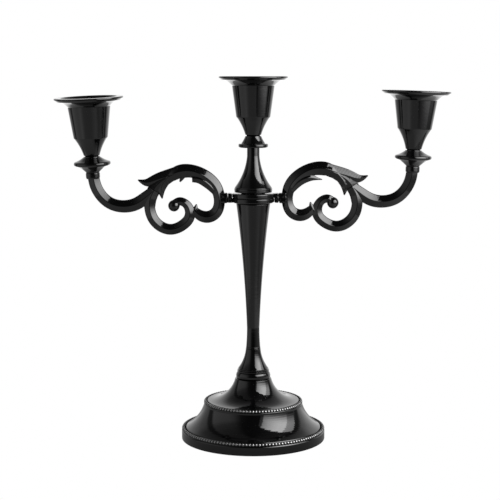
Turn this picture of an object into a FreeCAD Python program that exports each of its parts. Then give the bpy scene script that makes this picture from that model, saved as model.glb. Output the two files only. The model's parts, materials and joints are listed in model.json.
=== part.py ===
import FreeCAD, Part

import math
import os
import re

import Sketcher

# Three-light table candelabrum, millimetres, +Z up.
# Origin: centre of the underside of the base, on the axis of the stem.
# +X points along the right arm, -Y towards the front.

Vector = FreeCAD.Vector

doc = FreeCAD.newDocument("candelabrum")

# ---------------------------------------------------------------------------
# Driving dimensions
# ---------------------------------------------------------------------------

SIZES = {
    # base casting: rim, lower tier, flange and dome
    "base_dia": 107.2,
    "rim_height": 6.4,
    "felt_proud": 0.2,
    "felt_thick": 1.0,
    "felt_dia": 101.4,
    "felt_gap": 0.2,
    "bead_seat_width": 2.6,
    "lower_seat_height": 7.2,
    "lower_step_height": 9.2,
    "flange_dia": 73.8,
    "flange_underside": 26.0,
    "flange_edge_top": 27.2,
    "upper_step_height": 29.2,
    "tier_arc": 28.0,
    "dome_arc": 21.5,
    "base_top_dia": 26.8,
    "base_top": 45.8,
    "base_wall": 2.2,
    "base_chamfer": 0.7,
    "flange_edge_slope": 0.5,
    "rim_inner_dia": 97.2,
    "base_land": 39.4,
    "base_land_dia": 26.4,
    # turned foot between base and stem
    "foot_torus_dia": 25.2,
    "foot_torus_top_dia": 24.0,
    "foot_torus_height": 4.9,
    "foot_torus_arc": 4.6,
    "foot_groove_dia": 22.8,
    "foot_groove_height": 0.5,
    "foot_ring_dia": 23.8,
    "foot_ring_height": 0.8,
    "foot_ridge_dia": 22.4,
    "foot_ridge_height": 7.4,
    "foot_line": 0.6,
    "foot_flare_arc": 28.0,
    "foot_top": 69.5,
    # stem
    "stem_bottom_dia": 10.6,
    "stem_waist_dia": 9.5,
    "stem_waist_height": 84.0,
    "stem_waist_arc": 190.0,
    "stem_top_dia": 25.4,
    "stem_taper_arc": 958.0,
    "stem_top": 177.6,
    "stem_edge": 0.8,
    "bolt_hole_spare": 3.0,
    # stacked arm rings and the stud that clamps them
    "ring_dia": 31.0,
    "ring_thick": 3.5,
    "arm_block_inner": 16.0,
    "arm_block_outer": 24.5,
    "arm_block_width": 8.4,
    "stud_dia": 6.0,
    "stud_foot": 162.0,
    "stud_top": 196.0,
    "stud_chamfer": 0.6,
    "stud_hole_spare": 2.0,
    "stud_running_gap": 0.08,
    "thread_gap": 0.03,
    "washer_dia": 18.0,
    "washer_thick": 0.7,
    # finial, a trumpet with a plain band at its foot
    "band_dia": 28.1,
    "band_height": 3.4,
    "trumpet_arc": 44.0,
    "trumpet_neck_dia": 9.2,
    "trumpet_neck_height": 212.0,
    "finial_top": 218.1,
    "finial_bore_top": 198.0,
    # collars under the cups
    "centre_collar_dia": 21.8,
    "centre_collar_disc": 2.9,
    "centre_collar_cone_dia": 17.8,
    "centre_collar_arc": 30.0,
    "centre_collar_height": 8.5,
    "side_collar_dia": 27.0,
    "side_collar_foot_dia": 11.8,
    "side_collar_under": 4.3,
    "side_collar_edge": 2.9,
    "side_collar_neck_dia": 12.2,
    "side_collar_ring": 0.7,
    "side_collar_ledge": 0.5,
    "side_collar_height": 11.0,
    "side_collar_under_arc": 26.0,
    "side_collar_top_arc": 20.0,
    "collar_edge_round": 0.7,
    # candle cups
    "cup_neck_dia": 11.6,
    "cup_cone_arc": 40.0,
    "cup_shoulder_dia": 25.0,
    "centre_cup_shoulder": 13.7,
    "left_cup_shoulder": 13.7,
    "right_cup_shoulder": 15.6,
    "cup_body_top_dia": 31.2,
    "cup_body_height": 36.6,
    "cup_lip_step": 0.45,
    "cup_flare_arc": 18.0,
    "cup_flare_dia": 44.8,
    "cup_rim_dia": 50.6,
    "cup_rim_round": 0.4,
    "cup_rim_thick": 2.7,
    "cup_rim_lip": 1.2,
    "cup_rim_slope": 1.5,
    "cup_height": 43.4,
    "cup_dish_dia": 41.6,
    "cup_dish_depth": 5.0,
    "cup_dish_arc": 16.0,
    "candle_bore_dia": 22.5,
    "candle_bore_depth": 24.0,
    "candle_bore_lead": 0.8,
    "screw_well_dia": 10.0,
    "screw_floor": 9.4,
    # pan-head cup screws
    "screw_dia": 4.0,
    "screw_length": 27.0,
    "screw_head_dia": 7.8,
    "screw_head_height": 2.4,
    "screw_clearance": 0.15,
    "screw_chamfer": 0.5,
    "screw_head_slope": 0.9,
    "screw_hole_spare": 1.5,
    "screw_slot_length": 4.6,
    "screw_slot_width": 1.0,
    "screw_slot_depth": 1.4,
    # bolt, plain washer and spring washer inside the base
    "bolt_dia": 5.0,
    "bolt_length": 50.0,
    "bolt_head_flats": 8.0,
    "bolt_head_height": 3.5,
    "bolt_clearance": 0.3,
    "plain_washer_dia": 12.0,
    "plain_washer_thick": 1.2,
    "spring_washer_dia": 9.2,
    "spring_washer_thick": 1.2,
    "spring_washer_slit": 0.9,
    # arms: scrollwork depth, cup seats and the set of each casting
    "arm_depth": 8.4,
    "section_depth_ratio": 0.95,
    "arm_seat_reach": 117.7,
    "arm_seat_height": 202.9,
    "arm_boss_dia": 10.6,
    "arm_boss_height": 4.0,
    "arm_screw_depth": 8.0,
    "arm_set_pivot": 181.1,
    "left_arm_droop": 1.1,
    "right_arm_droop": -1.1,
    "left_seat_lean": 2.2,
    "right_seat_lean": 2.0,
    "left_seat_nod": 2.4,
    "right_seat_nod": 0.0,
}

dims = doc.addObject("Spreadsheet::Sheet", "dims")
for row, (alias, value) in enumerate(SIZES.items(), start=1):
    dims.set("A%d" % row, alias.replace("_", " "))
    dims.set("B%d" % row, str(value))
    dims.setAlias("B%d" % row, alias)
doc.recompute()


def in_sheet(text):
    """The expression with each alias prefixed by the sheet's name."""
    return re.sub(r"[a-z][a-z_]+", lambda word: "dims." + word.group(), text)


def size(text):
    """The value of an expression in the sheet's aliases."""
    return float(dims.evalExpression(in_sheet(text)))


# Heights where the stacked pieces meet, as expressions in the aliases
HUB_SEAM = "stem_top + ring_thick"
HUB_TOP = "stem_top + 2 * ring_thick"
FINIAL_FOOT = HUB_TOP + " + washer_thick"
CENTRE_CUP_FOOT = "finial_top + centre_collar_height"

# ---------------------------------------------------------------------------
# Sketches and turned bodies
# ---------------------------------------------------------------------------


def new_sketch(body, name, role):
    """An empty sketch on the body's own origin plane with the given role."""
    sketch = body.newObject("Sketcher::SketchObject", name)
    for feature in body.Origin.OriginFeatures:
        if feature.Role == role:
            sketch.AttachmentSupport = [(feature, "")]
    sketch.MapMode = "FlatFace"
    return sketch


def bind(sketch, kind, geometry, text):
    """Add a constraint whose value is bound to the sheet; zero lies on an axis."""
    value = size(text)
    if abs(value) < 1e-9:
        axis = {"DistanceX": -2, "DistanceY": -1}[kind]
        sketch.addConstraint(Sketcher.Constraint("PointOnObject", *geometry, axis))
        return
    if kind == "Radius":
        rule = Sketcher.Constraint(kind, *geometry, value)
    else:
        rule = Sketcher.Constraint(kind, -1, 1, *geometry, value)
    index = sketch.addConstraint(rule)
    sketch.setExpression("Constraints[%d]" % index, in_sheet(text))


def arc_geometry(start, end, radius, turns_left):
    """The shorter arc between two points, centred left or right of the way."""
    chord = end.sub(start)
    left = Vector(-chord.y, chord.x, 0).normalize()
    rise = math.sqrt(radius ** 2 - (chord.Length / 2) ** 2)
    centre = start + chord * 0.5 + left * (rise if turns_left else -rise)
    first, last = (start, end) if turns_left else (end, start)
    angles = [math.atan2(p.y - centre.y, p.x - centre.x) for p in (first, last)]
    if angles[1] < angles[0]:
        angles[1] += 2 * math.pi
    circle = Part.Circle(centre, Vector(0, 0, 1), radius)
    return Part.ArcOfCircle(circle, angles[0], angles[1])


def draw_outline(sketch, outline):
    """Closed outline of (across, up[, turn, arc radius to the next point]).

    turn is "left" or "right", the way the arc bends as the outline is followed.
    """
    points = [Vector(size(entry[0]), size(entry[1]), 0) for entry in outline]
    count = len(outline)
    ends = []
    for index, entry in enumerate(outline):
        start, end = points[index], points[(index + 1) % count]
        if len(entry) == 4:
            turns_left = entry[2] == "left"
            arc = arc_geometry(start, end, size(entry[3]), turns_left)
            sketch.addGeometry(arc, False)
            ends.append((1, 2) if turns_left else (2, 1))
        else:
            sketch.addGeometry(Part.LineSegment(start, end), False)
            ends.append((1, 2))
    for index in range(count):
        follower = (index + 1) % count
        joined = (index, ends[index][1], follower, ends[follower][0])
        sketch.addConstraint(Sketcher.Constraint("Coincident", *joined))
    for index, entry in enumerate(outline):
        vertex = (index, ends[index][0])
        bind(sketch, "DistanceX", vertex, entry[0])
        bind(sketch, "DistanceY", vertex, entry[1])
        if len(entry) == 4:
            bind(sketch, "Radius", (index,), entry[3])


def turned(label, outline):
    """A body turned about Z from its half outline in the XZ plane."""
    body = doc.addObject("PartDesign::Body", label)
    sketch = new_sketch(body, label + "_outline", "XZ_Plane")
    draw_outline(sketch, outline)
    turn = body.newObject("PartDesign::Revolution", label + "_turn")
    turn.Profile = sketch
    turn.ReferenceAxis = (sketch, ["V_Axis"])
    turn.Angle = 360.0
    return body


def cylinder(name, diameter, height, foot):
    """A bound Part cylinder on the Z axis."""
    solid = doc.addObject("Part::Cylinder", name)
    solid.setExpression("Radius", in_sheet("(%s) / 2" % diameter))
    solid.setExpression("Height", in_sheet(height))
    solid.setExpression("Placement.Base.z", in_sheet(foot))
    return solid


def flat_ring(label, outer, inner, thick, foot):
    """A plain washer from two bound cylinders."""
    ring = doc.addObject("Part::Cut", label)
    ring.Base = cylinder(label + "_disc", outer, thick, foot)
    ring.Tool = cylinder(label + "_hole", inner, thick, foot)
    return ring


# ---------------------------------------------------------------------------
# Stand: base, foot, stem, felt and the fasteners inside
# ---------------------------------------------------------------------------


def make_base():
    """Hollow cast base: rim, bead seats, concave tier, flange and dome."""
    hole = "(bolt_dia + 2 * bolt_clearance) / 2"
    recess = "felt_dia / 2 + felt_gap"
    return turned("base", [
        (recess, "felt_proud"),
        ("base_dia / 2", "felt_proud"),
        ("base_dia / 2", "rim_height"),
        ("base_dia / 2 - base_chamfer", "lower_seat_height"),
        ("base_dia / 2 - bead_seat_width", "lower_seat_height"),
        ("base_dia / 2 - bead_seat_width - base_chamfer", "lower_step_height",
         "right", "tier_arc"),
        ("flange_dia / 2", "flange_underside"),
        ("flange_dia / 2", "flange_edge_top"),
        ("flange_dia / 2 - flange_edge_slope", "flange_edge_top + flange_edge_slope"),
        ("flange_dia / 2 - bead_seat_width", "flange_edge_top + flange_edge_slope"),
        ("flange_dia / 2 - bead_seat_width", "upper_step_height",
         "right", "dome_arc"),
        ("base_top_dia / 2", "base_top"),
        (hole, "base_top"),
        (hole, "base_land"),
        ("base_land_dia / 2", "base_land", "left", "dome_arc + base_wall"),
        ("flange_dia / 2 - 2.8 * base_wall", "upper_step_height - base_wall"),
        ("flange_dia / 2 - base_wall", "flange_underside - 0.3 * base_wall",
         "left", "tier_arc + base_wall"),
        ("rim_inner_dia / 2", "lower_seat_height"),
        ("rim_inner_dia / 2", "felt_proud + felt_thick"),
        (recess, "felt_proud + felt_thick"),
    ])


def make_stem_foot():
    """Turned foot: torus, thin ring, ridge with a fine line above it, concave neck."""
    ring_foot = "base_top + foot_torus_height + foot_groove_height"
    return turned("stem_foot", [
        ("(bolt_dia + 2 * bolt_clearance) / 2", "base_top"),
        ("foot_torus_dia / 2", "base_top", "left", "foot_torus_arc"),
        ("foot_torus_top_dia / 2", "base_top + foot_torus_height"),
        ("foot_groove_dia / 2", "base_top + foot_torus_height"),
        ("foot_groove_dia / 2", ring_foot),
        ("foot_ring_dia / 2", ring_foot),
        ("foot_ring_dia / 2", ring_foot + " + foot_ring_height"),
        ("foot_ridge_dia / 2", ring_foot + " + foot_ring_height"),
        ("foot_ridge_dia / 2", "base_top + foot_ridge_height - foot_line"),
        ("foot_ridge_dia / 2 - foot_line", "base_top + foot_ridge_height - foot_line / 2"),
        ("foot_ridge_dia / 2", "base_top + foot_ridge_height",
         "right", "foot_flare_arc"),
        ("stem_bottom_dia / 2", "foot_top"),
        ("(bolt_dia + 2 * bolt_clearance) / 2", "foot_top"),
    ])


def make_stem():
    """Tapered stem with a tapped hole at each end."""
    bolt_hole = "bolt_dia / 2 + thread_gap"
    stud_hole = "stud_dia / 2 + thread_gap"
    bolt_hole_top = "base_land - plain_washer_thick - spring_washer_thick"
    bolt_hole_top += " + bolt_length + bolt_hole_spare"
    return turned("stem", [
        (bolt_hole, "foot_top"),
        ("stem_bottom_dia / 2", "foot_top", "right", "stem_waist_arc"),
        ("stem_waist_dia / 2", "stem_waist_height", "right", "stem_taper_arc"),
        ("stem_top_dia / 2", "stem_top - stem_edge"),
        ("stem_top_dia / 2 - stem_edge", "stem_top"),
        (stud_hole, "stem_top"),
        (stud_hole, "stud_foot - stud_hole_spare"),
        ("0", "stud_foot - stud_hole_spare"),
        ("0", bolt_hole_top),
        (bolt_hole, bolt_hole_top),
    ])


def make_stud():
    """Threaded stud in the stem's top, modelled at its outer diameter."""
    return turned("top_stud", [
        ("0", "stud_foot"),
        ("stud_dia / 2 - stud_chamfer", "stud_foot"),
        ("stud_dia / 2", "stud_foot + stud_chamfer"),
        ("stud_dia / 2", "stud_top - stud_chamfer"),
        ("stud_dia / 2 - stud_chamfer", "stud_top"),
        ("0", "stud_top"),
    ])


def make_base_fasteners():
    """Hex bolt, plain washer and split spring washer under the base's land."""
    washer_foot = "base_land - plain_washer_thick"
    spring_foot = washer_foot + " - spring_washer_thick"
    hole = "bolt_dia + 2 * bolt_clearance"
    washer = flat_ring("base_washer", "plain_washer_dia", hole,
                       "plain_washer_thick", washer_foot)

    whole = flat_ring("spring_washer_ring", "spring_washer_dia", hole,
                      "spring_washer_thick", spring_foot)
    slit = doc.addObject("Part::Box", "spring_washer_slit")
    slit.setExpression("Length", in_sheet("spring_washer_dia"))
    slit.setExpression("Width", in_sheet("spring_washer_slit"))
    slit.setExpression("Height", in_sheet("spring_washer_thick"))
    slit.setExpression("Placement.Base.y", in_sheet("-spring_washer_slit / 2"))
    slit.setExpression("Placement.Base.z", in_sheet(spring_foot))
    spring = doc.addObject("Part::Cut", "lock_washer")
    spring.Base = whole
    spring.Tool = slit

    head = doc.addObject("Part::Prism", "bolt_head")
    head.Polygon = 6
    head_foot = spring_foot + " - bolt_head_height"
    head.setExpression("Circumradius", in_sheet("bolt_head_flats") + " / sqrt(3)")
    head.setExpression("Height", in_sheet("bolt_head_height"))
    head.setExpression("Placement.Base.z", in_sheet(head_foot))
    shank = cylinder("bolt_shank", "bolt_dia", "bolt_length", spring_foot)
    bolt = doc.addObject("Part::Fuse", "base_bolt")
    bolt.Base = head
    bolt.Tool = shank
    return [washer, spring, bolt]


# ---------------------------------------------------------------------------
# Finial, collars, cups and screws
# ---------------------------------------------------------------------------


def make_finial():
    """Trumpet that screws down the stud and clamps both arm rings."""
    bore = "stud_dia / 2 + thread_gap"
    screw_hole = "screw_dia / 2 + thread_gap"
    screw_hole_foot = CENTRE_CUP_FOOT + " + screw_floor - screw_length - screw_hole_spare"
    return turned("finial", [
        (bore, FINIAL_FOOT),
        ("band_dia / 2", FINIAL_FOOT),
        ("band_dia / 2", FINIAL_FOOT + " + band_height", "right", "trumpet_arc"),
        ("trumpet_neck_dia / 2", "trumpet_neck_height"),
        ("trumpet_neck_dia / 2", "finial_top"),
        (screw_hole, "finial_top"),
        (screw_hole, screw_hole_foot),
        ("0", screw_hole_foot),
        ("0", "finial_bore_top"),
        (bore, "finial_bore_top"),
    ])


def make_centre_collar():
    """Disc and cone under the centre cup; foot at Z = 0."""
    hole = "screw_dia / 2 + screw_clearance"
    edge = "centre_collar_dia / 2"
    return turned("centre_collar", [
        (hole, "0"),
        (edge + " - collar_edge_round", "0", "left", "collar_edge_round"),
        (edge, "collar_edge_round"),
        (edge, "centre_collar_disc - collar_edge_round",
         "left", "collar_edge_round"),
        (edge + " - collar_edge_round", "centre_collar_disc"),
        ("centre_collar_cone_dia / 2", "centre_collar_disc",
         "right", "centre_collar_arc"),
        ("cup_neck_dia / 2", "centre_collar_height"),
        (hole, "centre_collar_height"),
    ])


def make_side_collar(label):
    """Double-coned drip collar under a side cup; foot at Z = 0."""
    hole = "screw_dia / 2 + screw_clearance"
    edge = "side_collar_dia / 2"
    edge_top = "side_collar_under + side_collar_edge"
    neck = "side_collar_neck_dia / 2"
    neck_foot = "side_collar_height - side_collar_ring"
    return turned(label, [
        (hole, "0"),
        ("side_collar_foot_dia / 2", "0", "right", "side_collar_under_arc"),
        (edge + " - collar_edge_round", "side_collar_under"),
        (edge, "side_collar_under + collar_edge_round"),
        (edge, edge_top + " - collar_edge_round"),
        (edge + " - collar_edge_round", edge_top, "right", "side_collar_top_arc"),
        (neck + " + side_collar_ledge", neck_foot),
        (neck, neck_foot + " + side_collar_ledge / 2"),
        (neck, "side_collar_height"),
        (hole, "side_collar_height"),
    ])


def make_cup(label):
    """Candle cup: sloped rim, dished mouth, candle bore, screw well; foot at Z = 0."""
    hole = "screw_dia / 2 + screw_clearance"
    edge = "cup_rim_dia / 2"
    under_rim = "cup_height - cup_rim_thick"
    bore_floor = "cup_height - candle_bore_depth"
    dish_floor = "cup_height - cup_dish_depth"
    return turned(label, [
        (hole, "0"),
        ("cup_neck_dia / 2", "0", "right", "cup_cone_arc"),
        ("cup_shoulder_dia / 2", label + "_shoulder"),
        ("cup_body_top_dia / 2", "cup_body_height"),
        ("cup_body_top_dia / 2 + cup_lip_step", "cup_body_height + cup_lip_step / 2",
         "right", "cup_flare_arc"),
        ("cup_flare_dia / 2", under_rim),
        (edge + " - cup_rim_slope", under_rim),
        (edge, "cup_height - cup_rim_lip"),
        (edge, "cup_height - cup_rim_round", "left", "cup_rim_round"),
        (edge + " - cup_rim_round", "cup_height"),
        ("cup_dish_dia / 2", "cup_height", "right", "cup_dish_arc"),
        ("candle_bore_dia / 2 + candle_bore_lead", dish_floor),
        ("candle_bore_dia / 2", dish_floor + " - candle_bore_lead"),
        ("candle_bore_dia / 2", bore_floor),
        ("screw_well_dia / 2", bore_floor),
        ("screw_well_dia / 2", "screw_floor"),
        (hole, "screw_floor"),
    ])


def make_cup_screw(label):
    """Pan-head screw with a cross recess; top of the head at Z = 0."""
    tip = "-screw_head_height - screw_length"
    body = turned(label, [
        ("0", tip),
        ("screw_dia / 2 - screw_chamfer", tip),
        ("screw_dia / 2", tip + " + screw_chamfer"),
        ("screw_dia / 2", "-screw_head_height"),
        ("screw_head_dia / 2", "-screw_head_height"),
        ("screw_head_dia / 2", "-screw_head_height / 2"),
        ("screw_head_dia / 2 - screw_head_slope", "0"),
        ("0", "0"),
    ])
    doc.recompute()
    reach, half = "screw_slot_length / 2", "screw_slot_width / 2"
    corners = [(reach, half), (half, half), (half, reach)]
    outline = []
    for across, up in ((1, 1), (-1, 1), (-1, -1), (1, -1)):
        quarter = corners if across * up > 0 else corners[::-1]
        for x_text, y_text in quarter:
            signed = ["%s%s" % ("" if sign > 0 else "-", text)
                      for sign, text in ((across, x_text), (up, y_text))]
            outline.append(tuple(signed))
    recess = new_sketch(body, label + "_cross", "XY_Plane")
    draw_outline(recess, outline)
    pocket = body.newObject("PartDesign::Pocket", label + "_recess")
    pocket.Profile = recess
    pocket.setExpression("Length", in_sheet("screw_slot_depth"))
    return body


# ---------------------------------------------------------------------------
# Arms: scrollwork of tapering bars with a diamond section
# ---------------------------------------------------------------------------

# Each bar is a smooth path of (reach from the stem's axis, height, half width)
ARM_BARS = {
    "hub_scroll": [
        (43.5, 172.5, 3.0), (39.5, 169.0, 4.0), (34.0, 167.6, 4.4),
        (28.0, 170.5, 4.3), (25.0, 179.8, 4.1), (27.4, 189.5, 4.6),
        (34.8, 197.2, 4.9), (45.3, 201.7, 4.9), (54.0, 201.4, 5.0),
        (62.0, 198.8, 5.0),
    ],
    "leaf": [
        (54.0, 201.3, 4.6), (63.0, 198.2, 4.9), (71.0, 195.8, 4.3),
        (78.5, 193.9, 2.8), (84.6, 195.9, 0.4),
    ],
    "leaf_side": [
        (57.0, 200.0, 4.0), (65.0, 196.0, 4.9), (71.5, 190.5, 5.1),
        (75.2, 183.0, 4.4), (76.3, 176.0, 3.9),
    ],
    "big_scroll": [
        (72.8, 188.0, 4.0), (75.6, 182.5, 4.0), (76.4, 174.5, 4.0),
        (73.0, 165.2, 4.0), (61.7, 158.9, 4.0), (52.4, 162.0, 4.0),
        (47.2, 168.2, 3.9), (47.6, 174.4, 3.5), (50.8, 178.4, 3.0),
        (54.6, 179.6, 2.8), (58.2, 178.2, 2.5),
    ],
    "branch": [
        (73.8, 187.3, 3.8), (79.5, 182.7, 4.5), (86.2, 178.4, 4.7),
        (95.3, 176.6, 4.6), (105.6, 179.2, 4.4), (112.9, 186.2, 4.3),
        (116.2, 193.5, 4.3), (117.4, 201.5, 4.2),
    ],
    "inner_leaf": [
        (62.0, 198.0, 3.5), (67.0, 191.0, 3.6), (67.1, 181.8, 0.4),
    ],
    "spur": [
        (30.0, 185.8, 2.6), (36.2, 192.6, 2.7), (42.5, 194.8, 2.2),
        (48.0, 193.4, 0.4),
    ],
    "bud": [
        (46.5, 169.0, 2.5), (43.2, 173.0, 2.2), (42.0, 177.2, 0.4),
    ],
}
CURL_BALL = (58.9, 176.7, 4.0)
SECTIONS_PER_POINT = 2
EDGE_DEPTH = 0.3
CREST_STEP = 0.1


def bar_solid(path, trim):
    """Loft of diamond sections along a path; trim keeps crests apart."""
    curve = Part.BSplineCurve()
    curve.interpolate([Vector(*point) for point in path])
    steps = SECTIONS_PER_POINT * (len(path) - 1)
    deepest = size("arm_depth") / 2 - trim
    sections = []
    for step in range(steps + 1):
        at = curve.FirstParameter
        at += (curve.LastParameter - curve.FirstParameter) * step / steps
        reach, height, half = curve.value(at)
        along = curve.tangent(at)[0]
        way = Vector(along.x, 0, along.y).normalize()
        across = Vector(-way.z, 0, way.x)
        depth = min(deepest, half * size("section_depth_ratio") + EDGE_DEPTH)
        centre = Vector(reach, 0, height)
        corners = [centre + across * half, centre + Vector(0, depth, 0),
                   centre - across * half, centre - Vector(0, depth, 0)]
        sections.append(Part.makePolygon(corners + corners[:1]))
    return Part.makeLoft(sections, True, False)


def seat_placement(side):
    """Where a side cup's collar sits: the pattern's seat after droop and lean."""
    pivot = Vector(0, 0, size("arm_set_pivot"))
    sign = 1 if side == "right" else -1
    droop = size(side + "_arm_droop")
    reach, height = size("arm_seat_reach"), size("arm_seat_height")
    set_turn = FreeCAD.Rotation(Vector(0, 1, 0), sign * droop)
    seat = set_turn.multVec(Vector(sign * reach, 0, height) - pivot) + pivot
    lean = FreeCAD.Rotation(Vector(0, 1, 0), sign * size(side + "_seat_lean"))
    nod = FreeCAD.Rotation(Vector(1, 0, 0), size(side + "_seat_nod"))
    return FreeCAD.Placement(seat, nod.multiply(lean))


def make_arm(side):
    """One arm casting: scrollwork, branch, cup seat, hub block and half ring."""
    pieces = [bar_solid(path, CREST_STEP * order)
              for order, path in enumerate(ARM_BARS.values())]
    reach, height, radius = CURL_BALL
    pieces.append(Part.makeSphere(radius, Vector(reach, 0, height)))
    scrolls = pieces[0].fuse(pieces[1:])
    if side == "left":
        scrolls = scrolls.mirror(Vector(0, 0, 0), Vector(1, 0, 0))
    sign = 1 if side == "right" else -1
    pivot = Vector(0, 0, size("arm_set_pivot"))
    scrolls.rotate(pivot, Vector(0, 1, 0), sign * size(side + "_arm_droop"))

    seat = seat_placement(side)
    boss = Part.makeCylinder(size("arm_boss_dia / 2"), size("arm_boss_height"))
    boss.translate(Vector(0, 0, -size("arm_boss_height")))
    boss.Placement = seat.multiply(boss.Placement)

    ring_foot = size(HUB_SEAM if side == "right" else "stem_top")
    thick, width = size("ring_thick"), size("arm_block_width")
    inner, outer = size("arm_block_inner"), size("arm_block_outer")
    ring = Part.makeCylinder(size("ring_dia / 2"), thick, Vector(0, 0, ring_foot))
    web = Part.makeBox(inner + 1, width, thick, Vector(0, -width / 2, ring_foot))
    block = Part.makeBox(outer - inner, width, 2 * thick,
                         Vector(inner, -width / 2, size("stem_top")))
    hub = web.fuse(block)
    if side == "left":
        hub = hub.mirror(Vector(0, 0, 0), Vector(1, 0, 0))
    casting = scrolls.fuse([boss, ring, hub])

    bore = Part.makeCylinder(size("stud_dia / 2 + stud_running_gap"), thick,
                             Vector(0, 0, ring_foot))
    screw_hole = Part.makeCylinder(size("screw_dia / 2 + thread_gap"),
                                   size("arm_screw_depth"))
    screw_hole.translate(Vector(0, 0, -size("arm_screw_depth")))
    screw_hole.Placement = seat.multiply(screw_hole.Placement)
    above_seat = Part.makeCylinder(size("arm_boss_dia"), size("arm_boss_height"))
    above_seat.Placement = seat
    casting = casting.cut([bore, screw_hole, above_seat])
    arm = doc.addObject("Part::Feature", side + "_arm")
    arm.Shape = casting.removeSplitter()
    return arm


# ---------------------------------------------------------------------------
# Build, check and write
# ---------------------------------------------------------------------------


def place(piece, placement, lift):
    """Put a piece built at Z = 0 into a seat, raised along the seat's axis."""
    raised = FreeCAD.Placement(Vector(0, 0, lift), FreeCAD.Rotation())
    piece.Placement = placement.multiply(raised)
    return piece


def make_cup_set(side, collar, seat, collar_height):
    """Collar, cup and screw stacked on one seat."""
    cup = place(make_cup(side + "_cup"), seat, collar_height)
    screw_lift = collar_height + size("screw_floor + screw_head_height")
    screw = place(make_cup_screw(side + "_cup_screw"), seat, screw_lift)
    return [place(collar, seat, 0), cup, screw]


def build_all():
    """Every sub-part of the candelabrum."""
    parts = [
        make_base(),
        cylinder("base_felt", "felt_dia", "felt_proud + felt_thick", "0"),
        make_stem_foot(),
        make_stem(),
        make_stud(),
        flat_ring("clamp_washer", "washer_dia", "stud_dia + 2 * stud_running_gap",
                  "washer_thick", HUB_TOP),
        make_finial(),
    ]
    parts += make_base_fasteners()
    finial_seat = FreeCAD.Placement(Vector(0, 0, size("finial_top")),
                                    FreeCAD.Rotation())
    parts += make_cup_set("centre", make_centre_collar(), finial_seat,
                          size("centre_collar_height"))
    for side in ("left", "right"):
        parts.append(make_arm(side))
        parts += make_cup_set(side, make_side_collar(side + "_collar"),
                              seat_placement(side), size("side_collar_height"))
    return parts


def check_and_write(parts):
    """Stop on any failed object or bad shape, then write one file per piece."""
    doc.recompute()
    for item in doc.Objects:
        if "Invalid" in item.State or "Error" in item.State:
            raise RuntimeError("%s failed: %s" % (item.Name, item.State))
    for piece in parts:
        if piece.Shape.isNull() or not piece.Shape.isValid():
            raise RuntimeError("%s has a bad shape" % piece.Name)
    os.makedirs("parts", exist_ok=True)
    for piece in parts:
        piece.Label = piece.Name
        piece.Shape.exportStep(os.path.join("parts", piece.Label + ".step"))
        box = piece.Shape.optimalBoundingBox()
        print("%-18s solids %d volume %9.1f  z %7.2f to %7.2f" % (
            piece.Label, len(piece.Shape.Solids), piece.Shape.Volume,
            box.ZMin, box.ZMax))


check_and_write(build_all())
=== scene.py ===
"""Three-light candelabrum in gloss black enamel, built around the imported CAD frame.

Outlines and paths are in millimetres, in the CAD's frame: +Z up, -Y towards the
front, +X along the right arm. Meshes are made in metres.
"""

import math

import bmesh
import bpy
import numpy as np
from mathutils import Matrix, Vector, noise
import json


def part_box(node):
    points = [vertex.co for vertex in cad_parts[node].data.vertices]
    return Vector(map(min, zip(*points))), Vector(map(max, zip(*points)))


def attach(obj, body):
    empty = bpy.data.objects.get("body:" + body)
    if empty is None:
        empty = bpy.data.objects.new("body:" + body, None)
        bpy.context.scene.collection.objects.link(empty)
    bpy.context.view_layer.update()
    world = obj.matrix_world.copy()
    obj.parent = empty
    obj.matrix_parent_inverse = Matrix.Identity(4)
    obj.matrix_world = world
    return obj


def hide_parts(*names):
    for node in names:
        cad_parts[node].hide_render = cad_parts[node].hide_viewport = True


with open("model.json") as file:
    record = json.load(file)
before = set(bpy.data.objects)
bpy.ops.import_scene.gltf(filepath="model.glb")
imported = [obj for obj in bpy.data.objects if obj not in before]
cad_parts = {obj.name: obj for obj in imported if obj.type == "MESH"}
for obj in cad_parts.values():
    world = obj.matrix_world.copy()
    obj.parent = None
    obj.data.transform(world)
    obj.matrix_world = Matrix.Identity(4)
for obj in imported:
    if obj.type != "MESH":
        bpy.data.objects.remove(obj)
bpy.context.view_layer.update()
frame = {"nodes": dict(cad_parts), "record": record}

MM = 0.001
TURN_SEGMENTS = 160  # steps round a turned piece of middling width
BASE_SEGMENTS = 224
CUP_SEGMENTS = 192
RING_SEGMENTS = 128
BOSS_SEGMENTS = 48
STEP = 1.6  # longest run between two rings of a turned piece
SUPPORT = 0.35  # ring beside each rounded corner, which keeps flats flat
ROUND_SHARE = 0.45  # most of a run that one corner's round may take

# Radii of the bores that the fasteners go through or bite into
SCREW_TAP = 2.03
SCREW_HOLE = 2.15
BOLT_TAP = 2.53
BOLT_HOLE = 2.8
STUD_TAP = 3.03
STUD_HOLE = 3.08

# ---------------------------------------------------------------------------
# Places taken from the frame
# ---------------------------------------------------------------------------


def low_z(node):
    """The lowest height of a CAD node, in millimetres."""
    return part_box(node)[0].z / MM


def high_z(node):
    """The highest height of a CAD node, in millimetres."""
    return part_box(node)[1].z / MM


def half_width(node):
    """Half of a centred CAD node's width in X, in millimetres."""
    low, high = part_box(node)
    return (high.x - low.x) / 2 / MM


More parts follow.
